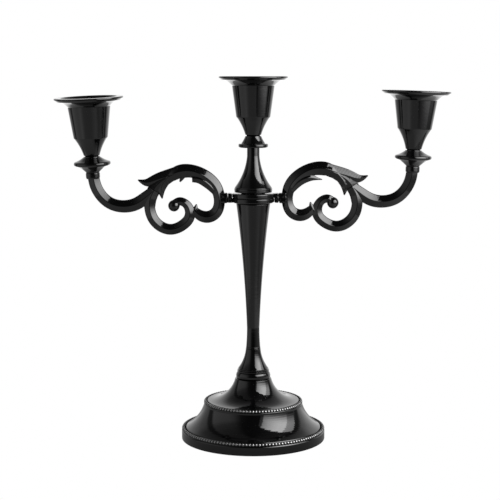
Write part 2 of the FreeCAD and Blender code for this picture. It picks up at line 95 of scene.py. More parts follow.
MOUNTS = {m["name"]: m for m in frame["record"]["mounts"]}
CUP_HEIGHT = high_z("centre_cup") - low_z("centre_cup")
CUP_RIM = 25.3
CUP_BODY_TOP = 36.6
CUP_SHOULDER = 13.7
RIGHT_CUP_SHOULDER = 15.6
BORE_DEPTH = 24.0
BORE_LEAD = 0.8  # chamfer at the bore's mouth
DISH_DEPTH = 5.0  # hollow of the mouth round the bore
BORE_MIDDLE = (CUP_HEIGHT - DISH_DEPTH - BORE_LEAD
               - MOUNTS["centre_candle_bore"]["dims"]["length_mm"] / 2)
SIDE_COLLAR_HEIGHT = 11.0
ARM_PIVOT = Vector((0, 0, 181.1))
ARM_SEAT = Vector((117.7, 0, 202.9))
HUB_FOOT = high_z("stem")
RING_THICK = 3.5
RING_CLEARANCE = 0.02  # keeps stacked rings apart when they turn


def cup_frame(side, below_cup):
    """Where a side cup's own origin is, moved down its axis by below_cup."""
    mount = MOUNTS[side + "_candle_bore"]
    axis = Vector(mount["axis"]).normalized()
    middle = Vector(mount["pos_m"]) / MM
    spot = middle - axis * (BORE_MIDDLE + below_cup)
    tilt = Vector((0, 0, 1)).rotation_difference(axis)
    return Matrix.Translation(spot) @ tilt.to_matrix().to_4x4()


# ---------------------------------------------------------------------------
# Turned pieces
# ---------------------------------------------------------------------------


def arc_points(start, end, radius, turns_left):
    """Points of the shorter arc between two points, ends left out."""
    chord = end - start
    left = Vector((-chord.y, chord.x)).normalized()
    rise = math.sqrt(radius ** 2 - (chord.length / 2) ** 2)
    centre = start + chord / 2 + left * (rise if turns_left else -rise)
    first = math.atan2(start.y - centre.y, start.x - centre.x)
    sweep = 2 * math.asin(chord.length / 2 / radius) * (1 if turns_left else -1)
    count = max(4, math.ceil(abs(sweep) * radius / STEP))
    return [centre + Vector((math.cos(first + sweep * i / count),
                             math.sin(first + sweep * i / count))) * radius
            for i in range(1, count)]


def rounded(outline):
    """A closed outline of (across, up, round[, "left"/"right", arc radius]) as points.

    Each corner is replaced by a small curve of the given round, with one more
    point on either side of it, and long runs are divided.
    """
    points, rounds = [], []
    for index, entry in enumerate(outline):
        start = Vector(entry[:2])
        end = Vector(outline[(index + 1) % len(outline)][:2])
        points.append(start)
        rounds.append(entry[2])
        if len(entry) > 3:
            bow = arc_points(start, end, entry[4], entry[3] == "left")
            points += bow
            rounds += [0] * len(bow)
    count = len(points)
    smooth = []
    for index in range(count):
        here, radius = points[index], rounds[index]
        before, after = points[index - 1], points[(index + 1) % count]
        if radius == 0 or here.x == 0:
            smooth.append(here)
            continue
        radius = min(radius, ROUND_SHARE * (before - here).length,
                     ROUND_SHARE * (after - here).length)
        back = (before - here).normalized()
        ahead = (after - here).normalized()
        for t in (0, 0.25, 0.5, 0.75, 1):
            smooth.append(here + back * radius * (1 - t) ** 2 + ahead * radius * t ** 2)
    dense = []
    for index, here in enumerate(smooth):
        after = smooth[(index + 1) % len(smooth)]
        run = (after - here).length
        dense.append(here)
        if run > 3 * SUPPORT:
            inner = run - 2 * SUPPORT
            steps = max(1, math.ceil(inner / STEP))
            dense += [here.lerp(after, (SUPPORT + inner * i / steps) / run)
                      for i in range(steps + 1)]
    return dense


def new_piece(name, mesh, material, body, replaced=()):
    """A shown piece with its finish, riding on a CAD body."""
    piece = bpy.data.objects.new(name, mesh)
    bpy.context.scene.collection.objects.link(piece)
    mesh.materials.append(material)
    for polygon in mesh.polygons:
        polygon.use_smooth = True
    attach(piece, body)
    if replaced:
        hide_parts(*replaced)


def turned_bmesh(outline, segments):
    """A closed solid turned about Z from a half outline."""
    profile = rounded(outline)
    made = bmesh.new()
    rings = []
    for point in profile:
        if point.x == 0:
            rings.append([made.verts.new((0, 0, point.y))])
            continue
        ring = []
        for segment in range(segments):
            angle = 2 * math.pi * segment / segments
            ring.append(made.verts.new((point.x * math.cos(angle),
                                        point.x * math.sin(angle), point.y)))
        rings.append(ring)
    for index, ring in enumerate(rings):
        after = rings[(index + 1) % len(rings)]
        if len(ring) == 1 and len(after) == 1:
            continue
        for segment in range(segments):
            corner = (segment + 1) % segments
            if len(ring) == 1:
                made.faces.new((ring[0], after[corner], after[segment]))
            elif len(after) == 1:
                made.faces.new((ring[segment], ring[corner], after[0]))
            else:
                made.faces.new((ring[segment], ring[corner], after[corner], after[segment]))
    bmesh.ops.recalc_face_normals(made, faces=made.faces)
    return made


def finished(made, name, matrix=None):
    """The bmesh as a mesh in metres, moved by a matrix in millimetres first."""
    if matrix is not None:
        made.transform(matrix)
    made.transform(Matrix.Scale(MM, 4))
    mesh = bpy.data.meshes.new(name)
    made.to_mesh(mesh)
    made.free()
    return mesh


def turned_piece(name, outline, body, node, segments=TURN_SEGMENTS, matrix=None):
    """A turned piece in enamel that stands in for one CAD node."""
    mesh = finished(turned_bmesh(outline, segments), name, matrix)
    new_piece(name, mesh, TURNED_ENAMEL, body, [node])


# ---------------------------------------------------------------------------
# Materials
# ---------------------------------------------------------------------------

BLACK = (0, 0, 0, 1)
WHITE = (1, 1, 1, 1)


class Tree:
    """A node tree, with a short way to add nodes and link them."""

    def __init__(self, tree):
        self.tree = tree

    def add(self, kind, values=None, **settings):
        node = self.tree.nodes.new(kind)
        for key, value in settings.items():
            setattr(node, key, value)
        for key, value in (values or {}).items():
            if isinstance(value, bpy.types.NodeSocket):
                self.link(value, node.inputs[key])
            else:
                node.inputs[key].default_value = value
        return node

    def link(self, output, socket):
        self.tree.links.new(output, socket)

    def ramp(self, value, low, high, to_low, to_high):
        """value from low..high mapped to to_low..to_high, held at the ends."""
        return self.add("ShaderNodeMapRange", {"Value": value, "From Min": low, "From Max": high,
                                               "To Min": to_low, "To Max": to_high}).outputs[0]

    def table(self, value, stops, unit=1.0):
        """The level between (place, level) stops, for a value in this unit."""
        first, last = stops[0][0], stops[-1][0]
        share = self.ramp(value, first * unit, last * unit, 0.0, 1.0)
        ramp = self.add("ShaderNodeValToRGB", {"Fac": share})
        elements = ramp.color_ramp.elements
        while len(elements) < len(stops):
            elements.new(1.0)
        for element, (place, level) in zip(elements, stops):
            element.position = (place - first) / (last - first)
            element.color = (level, level, level, 1)
        return ramp.outputs["Color"]

    def math(self, operation, first, second=0.0):
        return self.add("ShaderNodeMath", {0: first, 1: second}, operation=operation).outputs[0]


class Nodes(Tree):
    """A material's nodes round its main shader."""

    def __init__(self, name):
        self.material = bpy.data.materials.new(name)
        self.material.use_nodes = True
        super().__init__(self.material.node_tree)
        self.shader = self.tree.nodes["Principled BSDF"]
        self.place = self.add("ShaderNodeTexCoord").outputs["Object"]

    def noise(self, scale, detail=3.0, stretch=None):
        """Noise with this many features per metre, as a value from 0 to 1."""
        source = self.place
        if stretch:
            source = self.add("ShaderNodeMapping", {"Vector": source, "Scale": stretch}).outputs[0]
        return self.add("ShaderNodeTexNoise", {"Vector": source, "Scale": scale,
                                               "Detail": detail}).outputs["Fac"]

    def mottled(self, source, to_low, to_high, spread=0.2):
        """A noise's middling values, spread either side of a half, mapped to a range."""
        return self.ramp(source, 0.5 - spread, 0.5 + spread, to_low, to_high)

    def grey(self, tone, green=1.0, blue=1.0):
        """Set the base colour to a tone, tinted by its shares of green and blue."""
        tinted = {"Red": tone, "Green": self.math("MULTIPLY", tone, green),
                  "Blue": self.math("MULTIPLY", tone, blue)}
        colour = self.add("ShaderNodeCombineColor", tinted)
        self.link(colour.outputs[0], self.shader.inputs["Base Color"])

    def bump(self, height, distance, strength=1.0, below=None):
        """A bump of this depth in metres, on top of another bump if given."""
        node = self.add("ShaderNodeBump", {"Height": height, "Distance": distance,
                                           "Strength": strength})
        if below is not None:
            self.link(below, node.inputs["Normal"])
        return node.outputs["Normal"]


ENAMEL_TONE = (0.0008, 0.0016)
ENAMEL_ROUGHNESS = (0.04, 0.08)
ENAMEL_IOR = 1.5
SKIN_DEPTH = 0.000018  # the sprayed coat's waviness, in metres
DUST_SPECKS = (0.74, 0.80)  # only the noise's rare peaks are specks
DUST_TONE = 0.03
DUST_ROUGHNESS = 0.25
LATHE_MARKS = (900, 1150)  # marks per metre across and along a turned piece


def enamel(name, turning=0.0, cast=0.0):
    """Gloss black stoved enamel.

    turning is the depth in metres of the lathe marks that show through on turned
    pieces, and cast that of the uneven skin of a casting.
    """
    n = Nodes(name)
    dust = n.ramp(n.noise(2600, 1), *DUST_SPECKS, 0.0, 1.0)
    shade = n.mottled(n.noise(60, 4), *ENAMEL_TONE, spread=0.15)
    n.grey(n.math("ADD", shade, n.math("MULTIPLY", dust, DUST_TONE)), blue=1.06)
    gloss = n.mottled(n.noise(140, 5), *ENAMEL_ROUGHNESS)
    n.link(n.math("ADD", gloss, n.math("MULTIPLY", dust, DUST_ROUGHNESS)),
           n.shader.inputs["Roughness"])
    n.shader.inputs["IOR"].default_value = ENAMEL_IOR
    skin = n.bump(n.noise(420, 2), SKIN_DEPTH)
    if turning:
        place = n.add("ShaderNodeSeparateXYZ", {"Vector": n.place})
        radius = n.math("SQRT", n.math(
            "ADD", n.math("MULTIPLY", place.outputs["X"], place.outputs["X"]),
            n.math("MULTIPLY", place.outputs["Y"], place.outputs["Y"])))
        across, along = LATHE_MARKS
        way = n.math("ADD", n.math("MULTIPLY", radius, across),
                     n.math("MULTIPLY", place.outputs["Z"], along))
        marks = n.add("ShaderNodeTexNoise", {"W": way, "Scale": 1.0, "Detail": 2.0},
                      noise_dimensions="1D").outputs["Fac"]
        skin = n.bump(marks, turning, below=skin)
    if cast:
        skin = n.bump(n.noise(700, 3), cast, below=skin)
    n.link(skin, n.shader.inputs["Normal"])
    return n.material


RUB_HIGHLIGHT_STARTS, RUB_HIGHLIGHT_ENDS = 0.4, 0.65  # crest values where metal first shows and where it's bare; the bare metal is rubbed wear and also a painted highlight
RUBBED_HIGHLIGHT_TONE = (0.002, 0.36)
RUBBED_HIGHLIGHT_ROUGHNESS = (0.08, 0.3)


def rubbed_enamel(name):
    """Black enamel rubbed through to the metal where the mesh's crest value is high; the crest is
    weighted to the side the light falls on, so the bare metal is also a painted highlight.
    """
    n = Nodes(name)
    crest = n.add("ShaderNodeAttribute", attribute_name="crest").outputs["Fac"]
    ragged = n.math("ADD", crest, n.mottled(n.noise(500, 2), -0.1, 0.1))
    # bare rubbed metal where the crest is high, partly standing in for painted highlight dots
    rubbed_and_lit = n.ramp(ragged, RUB_HIGHLIGHT_STARTS, RUB_HIGHLIGHT_ENDS, 0.0, 1.0)
    n.grey(n.ramp(rubbed_and_lit, 0.0, 1.0, *RUBBED_HIGHLIGHT_TONE))
    n.link(rubbed_and_lit, n.shader.inputs["Metallic"])
    n.link(n.ramp(rubbed_and_lit, 0.0, 1.0, *RUBBED_HIGHLIGHT_ROUGHNESS), n.shader.inputs["Roughness"])
    return n.material


STEEL_ROUGHNESS = (0.24, 0.4)
BRUSHING_DEPTH = 0.00002


def brushed_steel(name, dark, light):
    """Steel with fine brushing, plated bright or blackened."""
    n = Nodes(name)
    streak = n.noise(900, 3, (1, 1, 12))
    n.grey(n.mottled(streak, dark, light), green=1.01, blue=1.04)
    n.shader.inputs["Metallic"].default_value = 1.0
    n.link(n.mottled(n.noise(500, 3), *STEEL_ROUGHNESS), n.shader.inputs["Roughness"])
    n.link(n.bump(streak, BRUSHING_DEPTH), n.shader.inputs["Normal"])
    return n.material


FELT_TONE = (0.012, 0.05)
FIBRE_DEPTH = 0.0003


def pressed_felt(name):
    """Dark pressed felt with short fibres."""
    n = Nodes(name)
    fibre = n.noise(1800, 6, (1, 2.5, 1))
    n.grey(n.mottled(fibre, *FELT_TONE, spread=0.25), green=1.05)
    n.shader.inputs["Roughness"].default_value = 0.95
    n.shader.inputs["Sheen Weight"].default_value = 0.3
    n.link(n.bump(fibre, FIBRE_DEPTH), n.shader.inputs["Normal"])
    return n.material


TURNED_ENAMEL = enamel("turned_enamel", turning=0.000012)
CAST_ENAMEL = enamel("cast_enamel", cast=0.00003)
RUBBED_HIGHLIGHT_ENAMEL = rubbed_enamel("rubbed_enamel")
PLATED_STEEL = brushed_steel("plated_steel", 0.44, 0.60)
BLACK_STEEL = brushed_steel("blackened_steel", 0.012, 0.03)
FELT = pressed_felt("pressed_felt")

# ---------------------------------------------------------------------------
# Base, foot and stem
# ---------------------------------------------------------------------------

BASE_RADIUS = half_width("base")
BASE_TOP = high_z("base")
FLANGE_RADIUS = 36.9
# The bead rings' places: radius of the rope, its height, bead radius and count
LOWER_BEADS = (BASE_RADIUS - 1.35, 7.9, 1.3, 138)
UPPER_BEADS = (FLANGE_RADIUS - 1.2, 28.1, 1.25, 98)
STEPS_PER_BEAD = 8
BEAD_SIDES = 12
BEAD_SLANT = 0.5
BEAD_LEAN = 0.8  # how far round the rope, in radians, the slant starts
BEAD_WAIST = 0.4  # thickness between two beads, as a share of a bead
HIGHLIGHT_LEAN = 0.9  # where round the rope, in radians from outwards, it gets rubbed: the upper outer side that the light falls on, so the rubbed metal is also a painted highlight


def make_base():
    """The hollow base: rim, bead seats, concave tier, flange and dome."""
    outline = [
        (50.9, 0.2, 0),
        (BASE_RADIUS, 0.2, 0.5),
        (BASE_RADIUS, 6.4, 0.3),
        (BASE_RADIUS - 0.7, 7.2, 0.2),
        (BASE_RADIUS - 2.6, 7.2, 0.1),
        (BASE_RADIUS - 3.3, 9.2, 0.5, "right", 28.0),
        (FLANGE_RADIUS, 26.0, 0.15),
        (FLANGE_RADIUS, 27.2, 0.3),
        (FLANGE_RADIUS - 0.5, 27.7, 0.2),
        (FLANGE_RADIUS - 2.6, 27.7, 0.1),
        (FLANGE_RADIUS - 2.6, 29.2, 0.5, "right", 21.5),
        (13.4, BASE_TOP, 0.3),
        (BOLT_HOLE, BASE_TOP, 0),
        (BOLT_HOLE, 39.4, 0),
        (13.2, 39.4, 0, "left", 23.7),
        (30.74, 27.0, 0),
        (34.7, 25.34, 0, "left", 30.2),
        (48.6, 7.2, 0),
        (48.6, 1.2, 0),
        (50.9, 1.2, 0),
    ]
    turned_piece("base_casting", outline, "stand", "base", BASE_SEGMENTS)


def make_bead_ring(name, radius, height, bead_radius, count):
    """A rope of beads round the base: a torus pinched between slanted beads.

    The mesh's crest value is high where the beads stand out, most on their upper outer side where
    the light falls: rubbed metal that is also a painted highlight.
    """
    made = bmesh.new()
    crest = made.verts.layers.float.new("crest")
    rings = []
    for step in range(count * STEPS_PER_BEAD):
        angle = 2 * math.pi * step / (count * STEPS_PER_BEAD)
        ring = []
        for side in range(BEAD_SIDES):
            turn = 2 * math.pi * side / BEAD_SIDES
            swell = abs(math.sin(step / STEPS_PER_BEAD * math.pi
                                 + BEAD_SLANT * math.sin(turn + BEAD_LEAN)))
            size = bead_radius * (BEAD_WAIST + (1 - BEAD_WAIST) * swell ** 0.6)
            across = radius + size * math.cos(turn)
            vertex = made.verts.new((across * math.cos(angle), across * math.sin(angle),
                                     height + size * math.sin(turn)))
            # painted highlight: the crest is weighted to the beads' upper outer side, which the
            # light falls on
            vertex[crest] = swell ** 2 * max(0.0, math.cos(turn - HIGHLIGHT_LEAN))
            ring.append(vertex)
        rings.append(ring)
    for index, ring in enumerate(rings):
        after = rings[(index + 1) % len(rings)]
        for side in range(BEAD_SIDES):
            corner = (side + 1) % BEAD_SIDES
            made.faces.new((ring[side], after[side], after[corner], ring[corner]))
    bmesh.ops.recalc_face_normals(made, faces=made.faces)
    new_piece(name, finished(made, name), RUBBED_HIGHLIGHT_ENAMEL, "stand")


def make_stem_foot():
    """Turned foot: torus, two thin rings between grooves, concave neck and a fine seam line."""
    foot, top = low_z("stem_foot"), high_z("stem_foot")
    outline = [
        (BOLT_HOLE, foot, 0),
        (12.3, foot, 0.15, "left", 4.6),
        (12.0, foot + 4.7, 0.1),
        (10.8, foot + 4.8, 0),
        (10.8, foot + 5.4, 0),
        (11.9, foot + 5.45, 0.15),
        (11.9, foot + 6.1, 0.15),
        (10.8, foot + 6.2, 0),
        (10.8, foot + 6.65, 0),
        (11.5, foot + 6.7, 0.1),
        (11.5, foot + 7.15, 0.1),
        (10.6, foot + 7.25, 0),
        (10.6, foot + 7.7, 0),
        (11.1, foot + 7.75, 0.1, "right", 28.0),
        (5.55, top - 1.4, 0.1),
        (5.15, top - 1.15, 0.05),
        (5.5, top - 0.9, 0.1),
        (5.3, top, 0.2),
        (BOLT_HOLE, top, 0),
    ]
    turned_piece("turned_foot", outline, "stand", "stem_foot")


def make_stem():
    """Tapering stem with an eased top edge."""
    foot, top = low_z("stem"), high_z("stem")
    outline = [
        (BOLT_TAP, foot, 0),
        (5.3, foot, 0.15, "right", 190.0),
        (4.75, 84.0, 0, "right", 958.0),
        (12.7, top - 0.8, 0.4),
        (11.9, top, 0.25),
        (STUD_TAP, top, 0),
        (STUD_TAP, 160.0, 0),
        (0, 160.0, 0),
        (0, 90.0, 0),
        (BOLT_TAP, 90.0, 0),
    ]
    turned_piece("tapered_stem", outline, "stand", "stem")


# ---------------------------------------------------------------------------
# Finial, collars and cups
# ---------------------------------------------------------------------------


def make_finial():
    """Trumpet with a band at its foot, cut by a fine line and set off by another."""
    foot, top = low_z("finial"), high_z("finial")
    outline = [
        (STUD_TAP, foot, 0),
        (13.6, foot, 0.3),
        (14.05, foot + 0.5, 0.2),
        (14.05, foot + 1.25, 0.1),
        (13.8, foot + 1.4, 0),
        (14.05, foot + 1.55, 0.1),
        (14.05, foot + 2.85, 0.2),
        (13.6, foot + 3.0, 0.05),
        (13.75, foot + 3.4, 0.2, "right", 44.0),
        (4.6, 212.0, 0),
        (4.6, top, 0.15),
        (SCREW_TAP, top, 0),
        (SCREW_TAP, 207.5, 0),
        (0, 207.5, 0),
        (0, 198.0, 0),
        (STUD_TAP, 198.0, 0),
    ]
    turned_piece("trumpet_finial", outline, "finial_group", "finial")


def make_centre_collar():
    """Disc and short cone under the centre cup."""
    foot, top = low_z("centre_collar"), high_z("centre_collar")
    outline = [
        (SCREW_HOLE, foot, 0),
        (10.4, foot, 0.4),
        (10.9, foot + 0.6, 0.3),
        (10.9, foot + 2.3, 0.3),
        (10.3, foot + 2.9, 0.3),
        (8.9, foot + 2.9, 0.2, "right", 30.0),
        (5.8, top, 0.15),
        (SCREW_HOLE, top, 0),
    ]
    turned_piece("disc_collar", outline, "finial_group", "centre_collar")


def make_side_collar(side):
    """Double-coned drip collar with a neck ring."""
    outline = [
        (SCREW_HOLE, 0, 0),
        (5.9, 0, 0.15, "right", 26.0),
        (12.8, 4.3, 0.4),
        (13.5, 5.0, 0.5),
        (13.5, 6.5, 0.5),
        (12.8, 7.2, 0.4, "right", 20.0),
        (6.6, 10.3, 0.15),
        (6.1, 10.55, 0.1),
        (6.1, SIDE_COLLAR_HEIGHT, 0.15),
        (SCREW_HOLE, SIDE_COLLAR_HEIGHT, 0),
    ]
    turned_piece(side + "_drip_collar", outline, side + "_branch", side + "_collar",
                 matrix=cup_frame(side, SIDE_COLLAR_HEIGHT))


def make_cup(side, shoulder, matrix, body):
    """Candle cup: foot seam, cone, body, flare, sloped rim, dish, bore and screw well."""
    bore = MOUNTS[side + "_candle_bore"]["dims"]["r_mm"]
    outline = [
        (SCREW_HOLE, 0, 0),
        (5.0, 0, 0),
        (5.0, 0.7, 0),
        (5.9, 0.8, 0.1, "right", 40.0),
        (12.5, shoulder, 0.35),
        (15.6, CUP_BODY_TOP, 0.1),
        (16.05, CUP_BODY_TOP + 0.23, 0.15, "right", 18.0),
        (22.4, CUP_HEIGHT - 2.7, 0.2),
        (CUP_RIM - 1.5, CUP_HEIGHT - 2.7, 0.3),
        (CUP_RIM, CUP_HEIGHT - 1.2, 0.25),
        (CUP_RIM, CUP_HEIGHT - 0.3, 0.25),
        (CUP_RIM - 0.4, CUP_HEIGHT, 0.2),
        (20.8, CUP_HEIGHT, 0.3, "right", 16.0),
        (bore + BORE_LEAD, CUP_HEIGHT - DISH_DEPTH, 0.3),
        (bore, CUP_HEIGHT - DISH_DEPTH - BORE_LEAD, 0.3),
        (bore, CUP_HEIGHT - BORE_DEPTH, 0),
        (5.0, CUP_HEIGHT - BORE_DEPTH, 0.2),
        (5.0, 9.4, 0),
        (SCREW_HOLE, 9.4, 0),
    ]
    turned_piece(side + "_candle_cup", outline, body, side + "_cup", CUP_SEGMENTS, matrix)


# ---------------------------------------------------------------------------
# Arms
# ---------------------------------------------------------------------------

# Each bar of the scrollwork: (reach from the stem's axis, height, half width)
ARM_BARS = {
    "hub_scroll": [
        (43.5, 172.5, 3.0), (39.5, 169.0, 4.0), (34.0, 167.6, 4.4),
        (28.0, 170.5, 4.3), (25.0, 179.8, 4.1), (27.4, 189.5, 4.6),
        (34.8, 197.2, 4.9), (45.3, 201.7, 4.9), (54.0, 201.4, 5.0),
        (62.0, 198.8, 3.0),
    ],
    "leaf": [
        (54.0, 201.3, 4.6), (63.0, 198.2, 4.9), (71.0, 195.8, 4.3),
        (78.5, 193.9, 2.8), (84.6, 195.9, 0.4),
    ],
    "leaf_side": [
        (57.0, 200.0, 4.0), (65.0, 196.0, 4.9), (71.5, 190.5, 5.1),
        (75.2, 183.0, 4.4), (76.3, 176.0, 3.9),
    ],
    "big_scroll": [
        (72.8, 188.0, 4.0), (75.6, 182.5, 4.0), (76.4, 174.5, 4.0),
        (73.0, 165.2, 4.0), (61.7, 158.9, 4.0), (52.4, 162.0, 4.0),
        (47.2, 168.2, 3.9), (47.6, 174.4, 3.5), (50.8, 178.4, 3.1),
        (54.6, 179.5, 3.1), (58.0, 177.6, 3.2),
    ],
    "branch": [
        (73.8, 187.3, 3.8), (79.5, 182.7, 4.5), (86.2, 178.4, 4.7),
        (95.3, 176.6, 4.6), (105.6, 179.2, 4.4), (112.9, 186.2, 4.3),
        (116.2, 193.5, 4.3), (117.4, 201.5, 4.2),
    ],
    "inner_leaf": [
        (62.0, 198.0, 3.5), (67.0, 191.0, 3.6), (67.1, 181.8, 0.4),
    ],
    "spur": [
        (26.2, 183.2, 1.9), (29.6, 188.4, 3.1), (35.9, 193.6, 3.4), (42.4, 195.2, 2.6),
        (47.0, 194.4, 1.2), (51.0, 193.6, 0.3),
    ],
    "bud": [
        (46.5, 169.0, 2.5), (43.2, 173.0, 2.2), (42.0, 177.2, 0.4),
    ],
}
LEFT_SPUR = [
    (26.2, 183.2, 1.9), (29.6, 188.4, 3.1), (35.1, 193.5, 3.6), (40.3, 196.0, 3.3),
    (44.7, 196.3, 2.9),
]
LEFT_TOOTH = [(50.4, 200.2, 2.0), (51.8, 197.4, 1.8), (53.8, 193.9, 0.5)]
VEINED = ("leaf", "leaf_side", "inner_leaf")
CURL_BALL = (58.6, 176.3, 4.35)
CURL_SUBDIVISIONS = 4
ARM_DEPTH = 4.2  # from the middle plane to a bar's ridge
CREST_STEP = 0.1  # each bar's ridge lies this much lower than the last one's
TOOTH_TRIM = 1.5
EDGE_WALL = 1.4  # from the middle plane to where a bar's faces start
LEAF_WALL = 2.1
LEAF_TAPER = 0.1  # loss of a leaf's depth along it
SECTION_STEP = 0.7
TIP_HALF = 0.25  # a bar's least half width
SLIM_SLOPE, SLIM_DEPTH = 0.95, 0.3  # a slim bar's depth: this much of its half width, and more
RIDGE_ROUND = 0.3  # softened width beside a ridge or an edge
RIDGE_SHARE = 0.12  # and at most this share of the half width
EDGE_EASE = 0.75  # what is left of an edge's wall where it is softened
GUARD = 0.07  # from a softened corner to the next line on a face
FACE_SHARES = (0.3, 0.5, 0.7)
VEIN_PITCH = 2.2
VEIN_SLANT = 0.9
VEIN_DEPTH = 0.14
VEIN_FADE = 3.0  # half width below which a leaf's veins fade out
HUB_EDGE = 0.7
HUB_RUN = 1.2  # longer edges of a hub block are divided
HUB_CUTS = 7
HUB_NOISE = 0.5  # features per mm
# The hub's blocks: inner and outer reach, half width, half height, unevenness, noise offset
LUG = (15.6, 18.6, 4.1, 3.45, 0.2, 3.0)
STOP = (18.9, 24.4, 4.2, 3.7, 0.3, 9.0)
WEB = (10.0, 20.4, 3.6, RING_THICK / 2 - 0.1, 0.0, 0.0)
SHARP_ANGLE = math.radians(38)


def spline_through(path, step):
    """Points of the natural cubic spline through a path, about step apart."""
    knots = np.array(path, float)
    runs = np.linalg.norm(np.diff(knots[:, :2], axis=0), axis=1)
    at = np.concatenate([[0], np.cumsum(runs)])
    count = len(knots)
    system, right = np.eye(count), np.zeros((count, knots.shape[1]))
    for i in range(1, count - 1):
        system[i, i - 1:i + 2] = runs[i - 1], 2 * (runs[i - 1] + runs[i]), runs[i]
        right[i] = 6 * ((knots[i + 1] - knots[i]) / runs[i]
                        - (knots[i] - knots[i - 1]) / runs[i - 1])
    bend = np.linalg.solve(system, right)
    places = np.linspace(0, at[-1], max(3, math.ceil(at[-1] / step)) + 1)
    found = []
    for place in places:
        i = min(int(np.searchsorted(at, place, side="right")) - 1, count - 2)
        a, b = at[i + 1] - place, place - at[i]
        found.append((bend[i] * a ** 3 + bend[i + 1] * b ** 3) / (6 * runs[i])
                     + (knots[i] / runs[i] - bend[i] * runs[i] / 6) * a
                     + (knots[i + 1] / runs[i] - bend[i + 1] * runs[i] / 6) * b)
    return np.array(found), places


def bar_section(half, depth, wall):
    """Points of a six-sided bar section as (across, depth, share of the way to a crest)."""
    soft = min(RIDGE_ROUND / half, RIDGE_SHARE)
    wall = min(wall, depth / 2)
    rise = depth - wall
    front = [(half, wall * EDGE_EASE, 0.0)]
    for share in (soft, soft + GUARD, *FACE_SHARES, 1 - GUARD - soft, 1 - soft):
        front.append((half * (1 - share), wall + rise * share, share))
    other = [(-across, deep, share) for across, deep, share in reversed(front)]
    front += [(0.0, wall + rise * (1 - soft / 2), 1.0)] + other
    return front + [(-across, -deep, share) for across, deep, share in front]


def bar_bmesh(path, trim, veined):
    """A bar of scrollwork: narrow edge walls and ridged faces, its corners softened."""
    centres, places = spline_through(path, SECTION_STEP)
    made = bmesh.new()
    rings = []
    for index, (reach, height, half) in enumerate(centres):
        ahead = centres[min(index + 1, len(centres) - 1)]
        behind = centres[max(index - 1, 0)]
        way = Vector((ahead[0] - behind[0], 0, ahead[1] - behind[1])).normalized()
        across = Vector((-way.z, 0, way.x))
        half = max(half, TIP_HALF)
        depth = min(ARM_DEPTH - trim, half * SLIM_SLOPE + SLIM_DEPTH)
        if veined:
            depth = min(depth, ARM_DEPTH - trim - LEAF_TAPER * places[index])
        centre = Vector((reach, 0, height))
        ring = []
        for out, deep, share in bar_section(half, depth, LEAF_WALL if veined else EDGE_WALL):
            if veined:
                slant = places[index] / VEIN_PITCH + VEIN_SLANT * share
                fade = min(1.0, half / VEIN_FADE) * math.sin(math.pi * share) ** 0.5
                deep -= math.copysign(VEIN_DEPTH * (slant % 1.0) * fade, deep)
            ring.append(made.verts.new(centre + across * out + Vector((0, deep, 0))))
        rings.append(ring)
    for ring, after in zip(rings, rings[1:]):
        for side in range(len(ring)):
            corner = (side + 1) % len(ring)
            made.faces.new((ring[side], ring[corner], after[corner], after[side]))
    made.faces.new(rings[0][::-1])
    made.faces.new(rings[-1])
    bmesh.ops.recalc_face_normals(made, faces=made.faces)
    return made


def cast_block(middle, inner, outer, half_width, half_height, uneven, offset):
    """A block about a height, with rounded edges and the uneven skin of a sand casting."""
    made = bmesh.new()
    bmesh.ops.create_cube(made, size=2.0)
    for vertex in made.verts:
        vertex.co = Vector((outer if vertex.co.x > 0 else inner, vertex.co.y * half_width,
                            middle + vertex.co.z * half_height))
    bmesh.ops.bevel(made, geom=list(made.edges), offset=HUB_EDGE, segments=3, profile=0.5,
                    affect="EDGES")
    bmesh.ops.subdivide_edges(made, edges=[e for e in made.edges if e.calc_length() > HUB_RUN],
                              cuts=HUB_CUTS, use_grid_fill=True)
    for vertex in made.verts:
        spot = vertex.co * HUB_NOISE + Vector((offset, 0, 0))
        vertex.co += vertex.normal * noise.noise(spot) * uneven
    bmesh.ops.recalc_face_normals(made, faces=made.faces)
    return made


def ball_bmesh(centre, radius):
    """A ball with even faces."""
    made = bmesh.new()
    bmesh.ops.create_icosphere(made, subdivisions=CURL_SUBDIVISIONS, radius=radius)
    made.transform(Matrix.Translation(Vector(centre)))
    return made


def ring_outline(foot):
    """Half outline of an arm's hub ring, bored for the stud, just clear of its neighbours."""
    low = foot + RING_CLEARANCE
    high = foot + RING_THICK - RING_CLEARANCE
    return [
        (STUD_HOLE, low, 0),
        (15.1, low, 0.35),
        (15.5, low + 0.5, 0.3),
        (15.5, high - 0.5, 0.3),
        (15.1, high, 0.35),
        (STUD_HOLE, high, 0),
    ]


# Half outline of the boss under a side collar, from the collar's underside down
SEAT_BOSS = [
    (0, -5.5, 0),
    (4.8, -5.5, 0.3),
    (5.2, -4.6, 0.3),
    (5.2, -1.3, 0.3),
    (4.8, -0.9, 0.2),
    (5.3, -0.5, 0.2),
    (5.3, 0, 0.1),
    (0, 0, 0),
]


def joined(parts, name):
    """One mesh from several closed bmeshes, by exact union."""
    scene = bpy.context.scene.collection
    objects = []
    for index, made in enumerate(parts):
        mesh = bpy.data.meshes.new("%s_part_%d" % (name, index))
        made.to_mesh(mesh)
        made.free()
        part = bpy.data.objects.new(mesh.name, mesh)
        scene.objects.link(part)
        objects.append(part)
    whole = objects[0]
    for part in objects[1:]:
        union = whole.modifiers.new("union", "BOOLEAN")
        union.operation = "UNION"
        union.solver = "EXACT"
        union.object = part
    bpy.context.view_layer.update()
    depsgraph = bpy.context.evaluated_depsgraph_get()
    mesh = bpy.data.meshes.new_from_object(whole.evaluated_get(depsgraph))
    for part in objects:
        bpy.data.objects.remove(part)
    mesh.name = name
    return mesh


